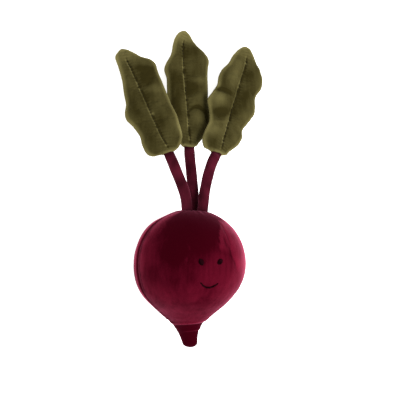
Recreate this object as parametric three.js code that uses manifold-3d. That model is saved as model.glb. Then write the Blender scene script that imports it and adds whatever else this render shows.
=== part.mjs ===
// Beetroot soft toy: a velour bulb with a stitched face, three stuffed stems and three padded leaves.
// All sizes are in millimetres. The toy lies on its back: +Z is up and is the way the face looks,
// +Y runs from the root tail to the leaf tips, and +X is right. "Left" in a name means the -X side.
// The origin is the middle of the flat spot under the bulb, on the surface that the toy lies on.
import * as THREE from 'three';
import { mergeVertices } from 'three/addons/utils/BufferGeometryUtils.js';
import Module from 'manifold-3d';

const wasm = await Module();
wasm.setup();

// ---- Driving dimensions ----

const FABRIC = 1.5; // velour with its pile
const GAP = 0.3; // air between two pieces that touch
const HALF_GAP = GAP / 2;

const BULB = {
  radius: 46.6, // at the widest ring
  crown: 44.2, // from the widest ring up to the stems
  axisHeight: 44.4, // a little less than the radius, which leaves the flat spot
  coneStart: THREE.MathUtils.degToRad(49.2), // how far the round belly runs past the widest ring
  waist: -46, // where the cone meets the tail
  seamDip: 0.8, // how deep the side seams draw the cover in
  seamShoulder: THREE.MathUtils.degToRad(5), // half the width of that furrow
  slackSpots: [ // where the cover is slack: the place from the middle of the widest ring, depth and width
    { place: [-20, 38.5, -8], depth: 1.6, width: 12 },
    { place: [-43, 10, -18], depth: 0.9, width: 18 },
  ],
  upperRows: 6, // rows of points from the crown to the widest ring
  lowerRows: 4, // and from there to the cone
  panelColumns: 10, // columns of points across each half, between the furrows
};

const TAIL = {
  end: -70.4,
  thin: 4.8, // the radius that the tail tends to
  flare: 13.2, // what the root adds to it at the waist
  flareLength: 9.65,
  roundFrom: -66.4, // below this the end is rounded
  sag: -1.4, // the cone sags this far to the left
  sagAt: -33,
  sagLength: 14,
  hook: 4.3, // how far the end bends back to the right
  square: 2.3, // how square its end is: 2 is round
  rowStep: 1.65,
  folded: 9, // rows of this step, from the waist past the folds
  tipRows: [-62.8, -66.4, -68.8, -70, -70.4], // and the rows that round the end
  tuckRows: [2, 6], // the two sewn ring folds, counted in rows below the waist
  tuckHeight: 0.6,
  tuckWidth: 1.1,
  tuckSide: THREE.MathUtils.degToRad(40), // the folds stand highest at the front right
};

const STEM = {
  radius: 4.6,
  sides: 8,
  rings: 12,
  flatEnd: 7, // length that is sewn between the leaf panels
  taper: 8, // length over which the tube is pressed flat
  flatHalfHeight: 2.0,
  crownRadius: 4.3, // the stems are squeezed together at the crown
  crownSqueeze: 24, // distance over which that eases
  fillingInset: 1, // the filling starts this far inside the lower end
  emptyEnd: 6, // and stops this far before the tube is pressed flat
};

const LEAF = {
  rows: 21,
  rowCrowding: 0.55, // rows lie closer at both ends
  edge: 1.5, // half thickness at the edge seam
  crest: 4.2, // half thickness in the middle of a lobe
  groove: 1.8, // depth of the stitched midrib
  grooveWidth: 3,
  roundEnd: 8, // length over which the padding rises from the base and the tip
  stemHouse: 18, // length of the raised place that holds the stem end
  stemShoulder: 2, // width over which it falls off beside the stem
  skewLength: 30,
  ruffle: 1.3, // how far the edge waves up and down
  ruffleLength: 31,
  columns: [-1, -0.92, -0.7, -0.25, 0, 0.25, 0.7, 0.92, 1], // across, as parts of the half width
  fillingColumns: [-0.8, -0.6, -0.25, 0, 0.25, 0.6, 0.8],
  fillingFirstRow: 5,
  fillingLastRow: 18,
};

const STITCH = {
  pitch: 2.7,
  width: 1.1,
  height: 0.7,
  lift: 0.7, // the thread bridges the bottom of the furrow
  pinch: 0.4, // thickness between two stitches, as a part of the full one
  from: 5,
  to: 11,
};

const FACE = {
  eyes: { // longitude to the right of the middle of the face, and Y
    left: { longitude: THREE.MathUtils.degToRad(-10.9), y: 2.6 },
    right: { longitude: THREE.MathUtils.degToRad(9.3), y: 3.4 },
  },
  eyeSize: [2.15, 2.6, 0.8], // half width, half height and how far it stands out
  smileTurn: THREE.MathUtils.degToRad(0.25),
  smileLongitude: THREE.MathUtils.degToRad(10), // half its width
  smileReach: 6, // a grown smile is longer at each end, in the same part of this
  smileLow: -17.7,
  smileRise: 3.8,
  smileTilt: 0.35, // with the twist, it puts the lowest point left of the middle
  smileTwist: -0.55,
  threadRadius: 0.55,
  smileSteps: 10,
};

// Each stem runs from inside the crown to its leaf. A leaf continues along its own midrib.
// Leaf edges are pairs of (distance along the midrib, half width), from the base to the tip, and a leaf's
// skew slants its base, left and right of the midrib, by this part of the distance from the midrib.
const LIMBS = [
  {
    side: 'left',
    stem: [[-5.5, 36, 46.3], [-5.8, 44.3, 46.6], [-8.4, 57.4, 45.3], [-13.2, 70.3, 42.3], [-17.5, 81.5, 38.6],
      [-20.6, 90, 35]],
    midrib: [[-19.6, 90, 35], [-26, 103, 29.8], [-38, 134, 17], [-47.6, 157, 8.6], [-54.4, 172, 3.4]],
    bank: -4,
    skew: [0, -0.25],
    ruffleStart: 0.4,
    leftEdge: [[0, 8], [2, 13], [6, 17.2], [13, 17.8], [21, 15.9], [30, 17.8], [37, 21], [43, 20.1],
      [51, 15.8], [60, 13.6], [72, 10.3], [84, 8.2], [92, 6.9], [96, 3.6]],
    rightEdge: [[0, 6.4], [4, 10.8], [9, 15.6], [16, 18.2], [27, 19.4], [37, 19], [48, 19.6], [58, 19.8],
      [67, 20.1], [75, 21], [80, 18.2], [85, 12], [90, 8], [96, 3]],
  },
  {
    side: 'middle',
    stem: [[4.4, 36, 37.4], [4.2, 44.7, 37.2], [3.5, 57.9, 35.8], [2.3, 71.1, 33.4], [1.8, 84.4, 29.2],
      [1.9, 94.6, 25.8]],
    midrib: [[1.9, 95.6, 25.5], [2, 127, 15.6], [0.2, 160, 7.2], [-0.9, 182, 5], [0.6, 194, 3.5]],
    bank: 0,
    skew: [0, 0],
    ruffleStart: 2.2,
    leftEdge: [[0, 5.6], [2, 8], [6, 12.2], [12, 16.2], [20, 17.6], [30, 17.9], [40, 16.6], [51, 15.6],
      [60, 15.4], [68, 16.6], [74, 14.4], [82, 9.7], [90, 8], [96, 6.2], [101.6, 3]],
    rightEdge: [[0, 5.6], [3, 7.6], [9, 12.6], [19, 18.2], [31, 20.5], [45, 20], [60, 21.2], [69, 22.4],
      [77, 23.4], [84, 19.8], [89, 15], [95, 8.8], [101.6, 3]],
  },
  {
    side: 'right',
    stem: [[7.9, 36, 46.4], [8.7, 45.1, 46.6], [9.7, 58.3, 45.3], [13.3, 71.8, 42.3], [18.4, 84, 38.2],
      [23.6, 92, 34.6]],
    midrib: [[25, 92, 34.4], [32, 107, 28], [44, 135, 16.6], [54.2, 160, 7.8], [59, 175, 4.8],
      [58.2, 187.6, 3.6]],
    bank: 4,
    skew: [0.42, 0.1],
    ruffleStart: 3.6,
    leftEdge: [[0, 8.4], [2, 13.4], [7, 16.8], [14, 17.4], [22, 17.2], [28, 18.8], [35, 21.2], [42, 23.6],
      [50, 22], [59, 19.9], [67, 20.5], [76, 19], [84, 15.3], [93, 13.4], [100, 10.8], [106, 4.6]],
    rightEdge: [[0, 6.4], [3, 7.8], [7, 9.4], [14, 13.4], [20, 15.6], [26, 16.9], [33, 15.7], [40, 17.8],
      [52, 21.6], [59, 21.4], [68, 18.6], [78, 21.2], [86, 19.8], [91, 15.2], [95, 9.6], [99, 6.6], [106, 3]],
  },
];

const COLOURS = {
  bulb: 0x651127,
  stem: 0x4a1824,
  leaf: 0x4f4827,
  filling: 0xece8de,
  thread: 0x3a351c,
  embroidery: 0x160a0c,
};

// ---- Solids ----

/** A bare geometry whose faces point outwards, from its points and triangles. */
function closedGeometry(points, triangles) {
  let volume = 0;
  for (const [a, b, c] of triangles) {
    volume += points[a].dot(new THREE.Vector3().crossVectors(points[b], points[c])) / 6;
  }
  const outward = volume > 0 ? triangles : triangles.map(([a, b, c]) => [a, c, b]);
  const geometry = new THREE.BufferGeometry().setFromPoints(points);
  geometry.setIndex(outward.flat());
  return geometry;
}

/**
 * A closed body through rings of points. The first half of a ring is the upper face from left to right
 * and the second half the lower face from right to left, and both are split along the same diagonals.
 * A round body has no two faces, so its diagonals all turn one way. An endless body joins its last ring
 * to its first; any other is closed by strips across its end rings.
 */
function loft(rings, { endless = false, round = false } = {}) {
  const count = rings[0].length;
  const half = count / 2;
  const points = rings.flat();
  const triangles = [];
  const spans = endless ? rings.length : rings.length - 1;
  for (let i = 0; i < spans; i += 1) {
    const here = i * count;
    const next = ((i + 1) % rings.length) * count;
    for (let j = 0; j < count; j += 1) {
      const k = (j + 1) % count;
      if (round || j < half) {
        triangles.push([here + j, next + j, next + k], [here + j, next + k, here + k]);
      } else {
        triangles.push([here + j, next + j, here + k], [here + k, next + j, next + k]);
      }
    }
  }
  if (!endless) {
    const last = (rings.length - 1) * count;
    for (let j = 0; j < half - 1; j += 1) {
      const across = count - 1 - j;
      triangles.push([j, j + 1, across], [j + 1, across - 1, across]);
      triangles.push([last + j, last + across, last + j + 1]);
      triangles.push([last + j + 1, last + across, last + across - 1]);
    }
  }
  return toSolid(closedGeometry(points, triangles));
}

/** The library's solid of a geometry, with shared points merged and collapsed triangles left out. */
function toSolid(geometry) {
  const bare = geometry.clone();
  bare.deleteAttribute('normal');
  bare.deleteAttribute('uv');
  const merged = mergeVertices(bare, 1e-4);
  const index = merged.index.array;
  const kept = [];
  for (let i = 0; i < index.length; i += 3) {
    const [a, b, c] = index.slice(i, i + 3);
    if (a !== b && b !== c && c !== a) {
      kept.push(a, b, c);
    }
  }
  return new wasm.Manifold(new wasm.Mesh({
    numProp: 3,
    vertProperties: merged.attributes.position.array,
    triVerts: Uint32Array.from(kept),
  }));
}

/** A named mesh of a solid, with a matt material of its own. */
function toMesh(name, solid, colour) {
  const { vertProperties, triVerts } = solid.getMesh();
  const geometry = new THREE.BufferGeometry();
  geometry.setAttribute('position', new THREE.BufferAttribute(vertProperties, 3));
  geometry.setIndex(new THREE.BufferAttribute(triVerts, 1));
  geometry.computeVertexNormals();
  const material = new THREE.MeshStandardMaterial({ color: colour, roughness: 0.95, metalness: 0 });
  const mesh = new THREE.Mesh(geometry, material);
  mesh.name = name;
  return mesh;
}

function subtractAll(solid, cutters) {
  return cutters.reduce((rest, cutter) => rest.subtract(cutter), solid);
}

// ---- Curves ----

const vector = ([x, y, z]) => new THREE.Vector3(x, y, z);
const smooth = (t) => THREE.MathUtils.smoothstep(t, 0, 1);

/** Value at x on a smooth line through (x, value) pairs. */
function along(pairs, x) {
  const last = pairs.length - 1;
  if (x <= pairs[0][0]) return pairs[0][1];
  if (x >= pairs[last][0]) return pairs[last][1];
  const slope = (i) => {
    const [before, after] = [pairs[Math.max(i - 1, 0)], pairs[Math.min(i + 1, last)]];
    return (after[1] - before[1]) / (after[0] - before[0]);
  };
  const i = pairs.findIndex((pair) => pair[0] > x) - 1;
  const span = pairs[i + 1][0] - pairs[i][0];
  const t = (x - pairs[i][0]) / span;
  return pairs[i][1] * (1 + 2 * t) * (1 - t) ** 2 + slope(i) * span * t * (1 - t) ** 2
    + pairs[i + 1][1] * t * t * (3 - 2 * t) + slope(i + 1) * span * t * t * (t - 1);
}

/** A place on a 3D curve, with its directions along, across (to the right) and up. */
function station(curve, distance, bank = 0) {
  const length = curve.getLength();
  const inside = THREE.MathUtils.clamp(distance, 0, length);
  const forward = curve.getTangentAt(inside / length);
  const place = curve.getPointAt(inside / length).addScaledVector(forward, distance - inside);
  const up = new THREE.Vector3(0, 0, 1).addScaledVector(forward, -forward.z).normalize();
  const right = new THREE.Vector3().crossVectors(forward, up);
  up.applyAxisAngle(forward, bank);
  right.applyAxisAngle(forward, bank);
  return { place, forward, right, up };
}

// ---- Bulb ----

const tailRadius = (y) => {
  const rounded = Math.max(0, (TAIL.roundFrom - y) / (TAIL.roundFrom - TAIL.end));
  const flared = TAIL.thin + TAIL.flare * Math.exp((y - BULB.waist) / TAIL.flareLength);
  return flared * Math.max(0, 1 - rounded ** TAIL.square) ** (1 / TAIL.square);
};

/** The outline from the crown to the end of the tail, as points (y, radius). */
function bulbOutline() {
  const turn = Math.PI / 2;
  const belly = new THREE.EllipseCurve(0, 0, BULB.crown, BULB.radius, 0, turn);
  const under = new THREE.EllipseCurve(0, 0, BULB.radius, BULB.radius, turn, turn + BULB.coneStart);
  const folded = Array.from({ length: TAIL.folded }, (_, row) => BULB.waist - row * TAIL.rowStep);
  return [
    ...belly.getPoints(BULB.upperRows),
    ...under.getPoints(BULB.lowerRows).slice(1),
    ...[...folded, ...TAIL.tipRows].map((y) => new THREE.Vector2(y, tailRadius(y))),
  ];
}

const OUTLINE = bulbOutline();

/** The outline moved inwards by a depth, point for point. */
function insetOutline(depth) {
  return OUTLINE.map((point, i) => {
    if (i === 0) return new THREE.Vector2(point.x - depth, 0);
    if (i === OUTLINE.length - 1) return new THREE.Vector2(point.x + depth, 0);
    const run = new THREE.Vector2().subVectors(OUTLINE[i + 1], OUTLINE[i - 1]).normalize();
    return new THREE.Vector2(point.x - run.y * depth, point.y + run.x * depth);
  });
}

/** Longitudes of the columns of points across one half, from seam to seam. */
const HALF_COLUMNS = (() => {
  const step = (Math.PI - 2 * BULB.seamShoulder) / BULB.panelColumns;
  const between = Array.from({ length: BULB.panelColumns + 1 }, (_, i) => BULB.seamShoulder + i * step);
  return [0, ...between, Math.PI];
})();

const SLACK_SPOTS = BULB.slackSpots.map((spot) => ({ ...spot, place: vector(spot.place) }));

/** A point of the bulb: the longitude turns about the bulb's axis from the right-hand seam over the face. */
function bulbPoint(y, radius, longitude, lift, floor) {
  const down = THREE.MathUtils.clamp((BULB.waist - y) / (BULB.waist - TAIL.roundFrom), 0, 1);
  const hooked = TAIL.hook * down ** 1.2;
  const bend = hooked + TAIL.sag * Math.exp(-(((y - TAIL.sagAt) / TAIL.sagLength) ** 2));
  const at = new THREE.Vector3(radius * Math.cos(longitude), y, radius * Math.sin(longitude));
  const slack = SLACK_SPOTS.reduce((sum, { place, depth, width }) => (
    sum + depth * Math.exp(-((at.distanceTo(place) / width) ** 2))), 0);
  at.multiplyScalar(1 - slack / BULB.radius);
  return new THREE.Vector3(bend + at.x, at.y, Math.max(floor, BULB.axisHeight + lift + at.z));
}

/** Height of the sewn ring folds at a point of the tail. */
function tuck(y, longitude) {
  const towards = 0.5 + 0.5 * Math.cos(longitude - TAIL.tuckSide);
  return TAIL.tuckRows.reduce((sum, row) => {
    const away = (y - (BULB.waist - row * TAIL.rowStep)) / TAIL.tuckWidth;
    return sum + TAIL.tuckHeight * (0.25 + 0.75 * towards) * Math.exp(-(away ** 2));
  }, 0);
}

/** One velour half of the bulb: turn 0 is the front with the face, turn 1 the back that it lies on. */
function bulbPanel(turn) {
  const inner = insetOutline(FABRIC);
  const columns = HALF_COLUMNS.map((longitude) => longitude + turn * Math.PI);
  const lift = turn === 0 ? HALF_GAP : -HALF_GAP;
  const rings = OUTLINE.map(({ x: y, y: radius }, row) => {
    const outside = columns.map((longitude, j) => {
      const onSeam = j === 0 || j === columns.length - 1;
      const dip = onSeam ? Math.min(BULB.seamDip, radius / 10) : 0;
      const proud = radius > 1 ? tuck(y, longitude) - dip : 0;
      return bulbPoint(y, radius + proud, longitude, lift, 0);
    });
    const inside = columns.map((longitude) => (
      bulbPoint(inner[row].x, inner[row].y, longitude, lift, FABRIC)));
    return [...outside, ...inside.reverse()];
  });
  return loft(rings);
}

function bulbFilling() {
  const outline = insetOutline(FABRIC + GAP);
  const oneHalf = HALF_COLUMNS.slice(0, -1);
  const columns = [...oneHalf, ...oneHalf.map((longitude) => longitude + Math.PI)];
  return loft(outline.map(({ x: y, y: radius }) => (
    columns.map((longitude) => bulbPoint(y, radius, longitude, 0, FABRIC + GAP)))), { round: true });
}

// ---- Face ----

/** A place on the front of the bulb, at a longitude to the right of the middle of the face. */
function facePoint(longitude, y) {
  const radius = Math.sqrt(BULB.radius ** 2 - y ** 2);
  return bulbPoint(y, radius, Math.PI / 2 - longitude, HALF_GAP, 0);
}

function eyeSolid({ longitude, y }, grow = 0) {
  const [wide, high, proud] = FACE.eyeSize;
  const geometry = new THREE.SphereGeometry(1, 10, 6);
  geometry.scale(wide + grow, high + grow, proud + grow);
  geometry.rotateY(longitude);
  const place = facePoint(longitude, y);
  geometry.translate(place.x, place.y, place.z);
  return toSolid(geometry);
}

function smileSolid(grow = 0) {
  const reach = 1 + grow / FACE.smileReach;
  const points = [];
  for (let i = 0; i <= FACE.smileSteps; i += 1) {
    const side = reach * ((2 * i) / FACE.smileSteps - 1);
    const longitude = FACE.smileTurn + side * FACE.smileLongitude;
    const tilt = FACE.smileTilt * side + FACE.smileTwist * side ** 3;
    const y = FACE.smileLow + FACE.smileRise * side ** 2 + tilt;
    points.push(facePoint(longitude, y));
  }
  const section = new THREE.Shape();
  section.absarc(0, 0, FACE.threadRadius + grow, 0, 2 * Math.PI);
  return toSolid(new THREE.ExtrudeGeometry(section, {
    steps: FACE.smileSteps,
    curveSegments: 6,
    extrudePath: new THREE.CatmullRomCurve3(points),
  }));
}

// ---- Stems ----

/** The tube of a stem as rings, shrunk or grown, and cut short or extended at each end. */
function stemRings(limb, grow, startCut, endCut) {
  const curve = limb.stemCurve;
  const length = curve.getLength();
  const rings = [];
  for (let i = 0; i <= STEM.rings; i += 1) {
    const distance = THREE.MathUtils.lerp(startCut, length - endCut, i / STEM.rings);
    const flat = smooth((distance - (length - STEM.flatEnd - STEM.taper)) / STEM.taper);
    const round = THREE.MathUtils.lerp(STEM.crownRadius, STEM.radius, smooth(distance / STEM.crownSqueeze));
    const high = THREE.MathUtils.lerp(round, STEM.flatHalfHeight, flat) + grow;
    const wide = round + grow;
    const { place, right, up } = station(curve, distance);
    rings.push(Array.from({ length: STEM.sides }, (_, side) => {
      const angle = Math.PI - ((side + 0.5) * 2 * Math.PI) / STEM.sides;
      return place.clone()
        .addScaledVector(right, wide * Math.cos(angle))
        .addScaledVector(up, high * Math.sin(angle));
    }));
  }
  return rings;
}

function stemCover(limb) {
  const outside = stemRings(limb, 0, 0, 0);
  const inside = stemRings(limb, -FABRIC, 0, 0);
  return loft([...outside, ...inside.reverse()], { endless: true });
}

const stemFilling = (limb) => (
  loft(stemRings(limb, -FABRIC - 1.5 * GAP, STEM.fillingInset, STEM.flatEnd + STEM.taper + STEM.emptyEnd)));

/** The hole that a stem needs in whatever it is sewn into. */
const stemRoom = (limb) => loft(stemRings(limb, GAP / Math.cos(Math.PI / STEM.sides), -GAP, -GAP));

// ---- Leaves ----

const leafLength = (limb) => limb.leftEdge[limb.leftEdge.length - 1][0];

/** A point of a leaf: s along the midrib, w across to the right, n up from the plane of the edge seam. */
function leafPoint(limb, s, w, n) {
  const fade = Math.max(0, 1 - s / LEAF.skewLength) ** 2;
  const skew = w < 0 ? limb.skew[0] : limb.skew[1];
  const { place, right, up } = station(limb.midribCurve, s + skew * w * fade, limb.bankAngle);
  const reach = w / along(w < 0 ? limb.leftEdge : limb.rightEdge, s);
  const calm = 1 - smooth(s / leafLength(limb));
  const wave = LEAF.ruffle * calm * reach ** 2
    * Math.sin((s * 2 * Math.PI) / LEAF.ruffleLength + limb.ruffleStart + Math.sign(w));
  return place.addScaledVector(right, w).addScaledVector(up, n + wave * smooth(s / LEAF.roundEnd));
}

/** Half the padded thickness of a leaf at a place on it. */
function leafHalfThickness(limb, s, w) {
  const reach = Math.min(1, Math.abs(w) / along(w < 0 ? limb.leftEdge : limb.rightEdge, s));
  const fromEnd = Math.min(1, Math.min(s, leafLength(limb) - s) / LEAF.roundEnd);
  const rise = Math.sqrt(1 - (1 - fromEnd) ** 2) * Math.sqrt(1 - reach ** 4);
  const groove = LEAF.groove * rise * Math.exp(-((w / LEAF.grooveWidth) ** 2));
  const padded = LEAF.edge + (LEAF.crest - LEAF.edge) * rise - groove;
  const house = STEM.flatHalfHeight + GAP + FABRIC - LEAF.edge;
  const besideStem = 1 - smooth((Math.abs(w) - STEM.radius - LEAF.stemShoulder / 2) / LEAF.stemShoulder);
  const pastStem = smooth((s - STEM.flatEnd) / (LEAF.stemHouse - STEM.flatEnd));
  const raised = LEAF.edge + house * besideStem * (1 - pastStem);
  return Math.max(padded, raised);
}

/** Rings across a leaf from a first to a last row, between two heights over the seam plane. */
function leafRings(limb, { firstRow, lastRow, columns, top, bottom }) {
  const rings = [];
  for (let i = firstRow; i <= lastRow; i += 1) {
    const t = i / LEAF.rows;
    const s = leafLength(limb) * (t - (LEAF.rowCrowding * Math.sin(2 * Math.PI * t)) / (2 * Math.PI));
    const [left, right] = [along(limb.leftEdge, s), along(limb.rightEdge, s)];
    const across = columns.map((part) => part * (part < 0 ? left : right));
    const upper = across.map((w) => leafPoint(limb, s, w, top(s, w)));
    const lower = across.map((w) => leafPoint(limb, s, w, bottom(s, w)));
    rings.push([...upper, ...lower.reverse()]);
  }
  return rings;
}

/** One velour face of a leaf: side +1 is the front and -1 the back. */
function leafPanel(limb, side) {
  const outside = (s, w) => leafHalfThickness(limb, s, w);
  const inside = (s, w) => Math.max(HALF_GAP, leafHalfThickness(limb, s, w) - FABRIC);
  return loft(leafRings(limb, {
    firstRow: 0,
    lastRow: LEAF.rows,
    columns: LEAF.columns,
    top: side > 0 ? outside : (s, w) => -inside(s, w),
    bottom: side > 0 ? inside : (s, w) => -outside(s, w),
  }));
}

function leafFilling(limb) {
  const height = (s, w) => leafHalfThickness(limb, s, w) - FABRIC - 2 * GAP;
  return loft(leafRings(limb, {
    firstRow: LEAF.fillingFirstRow,
    lastRow: LEAF.fillingLastRow,
    columns: LEAF.fillingColumns,
    top: height,
    bottom: (s, w) => -height(s, w),
  }));
}

/** The visible thread along a midrib, thick in each stitch and thin between two. */
function midribThread(limb, side) {
  const length = leafLength(limb) - STITCH.from - STITCH.to;
  const stitches = Math.round(length / STITCH.pitch);
  const rings = [];
  for (let i = 0; i <= 2 * stitches; i += 1) {
    const s = STITCH.from + (length * i) / (2 * stitches);
    const size = i % 2 === 0 ? STITCH.pinch : 1;
    const low = leafHalfThickness(limb, s, 0) + STITCH.lift;
    const [wide, high] = [(size * STITCH.width) / 2, low + size * STITCH.height];
    rings.push([
      leafPoint(limb, s, -wide, side * low),
      leafPoint(limb, s, 0, side * high),
      leafPoint(limb, s, wide, side * low),
      leafPoint(limb, s, 0, side * low),
    ]);
  }
  return loft(rings);
}

// ---- The toy ----

const toy = new THREE.Group();
const add = (name, solid, colour) => toy.add(toMesh(name, solid, colour));

for (const limb of LIMBS) {
  limb.midribCurve = new THREE.CatmullRomCurve3(limb.midrib.map(vector));
  limb.bankAngle = THREE.MathUtils.degToRad(limb.bank);
  const sewnIn = station(limb.midribCurve, STEM.flatEnd, limb.bankAngle).place;
  limb.stemCurve = new THREE.CatmullRomCurve3([...limb.stem.map(vector), sewnIn]);
  limb.room = stemRoom(limb);
}
const stemRooms = LIMBS.map((limb) => limb.room);

const faceRooms = [eyeSolid(FACE.eyes.left, GAP), eyeSolid(FACE.eyes.right, GAP), smileSolid(GAP)];
add('bulb_front_panel', subtractAll(bulbPanel(0), [...stemRooms, ...faceRooms]), COLOURS.bulb);
add('bulb_back_panel', subtractAll(bulbPanel(1), stemRooms), COLOURS.bulb);
add('bulb_filling', subtractAll(bulbFilling(), stemRooms), COLOURS.filling);
add('eye_left', eyeSolid(FACE.eyes.left), COLOURS.embroidery);
add('eye_right', eyeSolid(FACE.eyes.right), COLOURS.embroidery);
add('smile', smileSolid(), COLOURS.embroidery);

for (const limb of LIMBS) {
  add(`stem_${limb.side}_cover`, stemCover(limb), COLOURS.stem);
  add(`stem_${limb.side}_filling`, stemFilling(limb), COLOURS.filling);
  add(`leaf_${limb.side}_front_panel`, leafPanel(limb, 1).subtract(limb.room), COLOURS.leaf);
  add(`leaf_${limb.side}_back_panel`, leafPanel(limb, -1).subtract(limb.room), COLOURS.leaf);
  add(`leaf_${limb.side}_filling`, leafFilling(limb), COLOURS.filling);
  add(`leaf_${limb.side}_front_stitching`, midribThread(limb, 1), COLOURS.thread);
  add(`leaf_${limb.side}_back_stitching`, midribThread(limb, -1), COLOURS.thread);
}

export default toy;
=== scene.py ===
"""Beetroot soft toy: the sewn and stuffed covers, the stitches and the finishes, around the fixed frame.

Shapes are worked out in millimetres and scaled to metres as each piece is finished. The toy lies on its
back: +Z is up and is the way the face looks, +Y runs from the root tail to the leaf tips, +X is right.
"""
from bisect import bisect_right
from math import atan2, copysign, cos, degrees, exp, hypot, pi, radians, sin, sqrt

import bmesh
import bpy
from bpy.props import FloatProperty, FloatVectorProperty, IntProperty, PointerProperty
from mathutils import Matrix, Vector, noise
from mathutils.geometry import interpolate_bezier


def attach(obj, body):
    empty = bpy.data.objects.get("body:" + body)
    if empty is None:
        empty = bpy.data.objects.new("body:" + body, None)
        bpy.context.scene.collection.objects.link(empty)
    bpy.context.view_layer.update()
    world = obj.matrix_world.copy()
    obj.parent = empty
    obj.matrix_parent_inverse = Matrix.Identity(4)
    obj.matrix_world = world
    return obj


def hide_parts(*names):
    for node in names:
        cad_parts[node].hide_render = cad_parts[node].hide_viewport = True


bl_info = {
    "name": "Beetroot soft toy",
    "version": (1, 0, 0),
    "blender": (4, 5, 0),
    "location": "3D View > Sidebar > Beetroot",
    "description": "Makes the velour covers, the stitching and the studio of a stuffed beetroot",
    "category": "Mesh",
}

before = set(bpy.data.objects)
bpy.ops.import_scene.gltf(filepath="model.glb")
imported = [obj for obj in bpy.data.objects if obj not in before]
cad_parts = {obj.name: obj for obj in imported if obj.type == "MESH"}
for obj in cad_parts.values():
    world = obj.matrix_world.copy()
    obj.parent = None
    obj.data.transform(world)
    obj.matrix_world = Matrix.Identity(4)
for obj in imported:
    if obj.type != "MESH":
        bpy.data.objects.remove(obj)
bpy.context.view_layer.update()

BODY = "root"
MM = 0.001


def linear(hex_colour):
    """Linear RGBA of an sRGB hex colour such as 0x651127."""
    channels = ((hex_colour >> shift & 255) / 255 for shift in (16, 8, 0))
    return (*(c / 12.92 if c <= 0.04045 else ((c + 0.055) / 1.055) ** 2.4 for c in channels), 1.0)


# ---- The toy's own sizes, in millimetres, as in the solid model ----

RADIUS = 46.6  # of the bulb at its widest ring
CROWN = 44.2  # from the widest ring up to the stems
AXIS_HEIGHT = 44.4  # a little less than the radius, which leaves a flat spot underneath
CONE_START = radians(49.2)  # how far the round belly runs past the widest ring
WAIST = -46.0  # where the cone meets the tail

TAIL_END = -70.4
TAIL_THIN = 4.8
TAIL_FLARE = 13.2
TAIL_FLARE_LENGTH = 9.65
TAIL_ROUND_FROM = -66.4
TAIL_HOOK = 4.3  # its end bends this far to the right
CONE_SAG = -1.4  # the cone sags this far to the left
CONE_SAG_AT = -33.0
CONE_SAG_LENGTH = 14.0
TAIL_SQUARE = 2.3  # how square its end is: 2 is round
TUCKS = (-49.3, -55.9)  # the two ring folds sewn into the tail
TUCK_SIDE = radians(40)  # they stand highest at the front right

STEM_RADIUS = 4.6
STEM_CROWN_RADIUS = 4.2
STEM_SQUEEZE = 24.0  # distance over which the squeezed crown end grows to the full radius
STEM_FLAT_END = 7.0  # length sewn between the leaf faces
STEM_TAPER = 8.0
STEM_FLAT_HALF = 2.0

LEAF_CREST = 4.2  # half thickness in the middle of a lobe
LEAF_GROOVE_WIDTH = 3.0  # of the furrow that the midrib is sewn in
LEAF_ROUND_END = 8.0
LEAF_STEM_HOUSE = 18.0  # length of the raised place over the stem end
LEAF_STEM_SHOULDER = 2.0
LEAF_SKEW_LENGTH = 30.0
LEAF_RUFFLE = 1.3  # the edge waves up and down by this much near the base
LEAF_RUFFLE_LENGTH = 31.0

STITCH_PITCH = 2.7
STITCH_FROM = 5.0  # where the midrib stitches start, from the base
STITCH_TO = 11.0  # and where they end, from the tip

EYES = {"left": (radians(-10.9), 2.6), "right": (radians(9.3), 3.4)}  # longitude and Y
SMILE_TURN = radians(0.25)
SMILE_LONGITUDE = radians(10.0)  # half its width
SMILE_LOW = -17.7
SMILE_RISE = 3.8
SMILE_TILT = 0.35  # with the twist, it puts the lowest point left of the middle
SMILE_TWIST = -0.55

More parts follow.
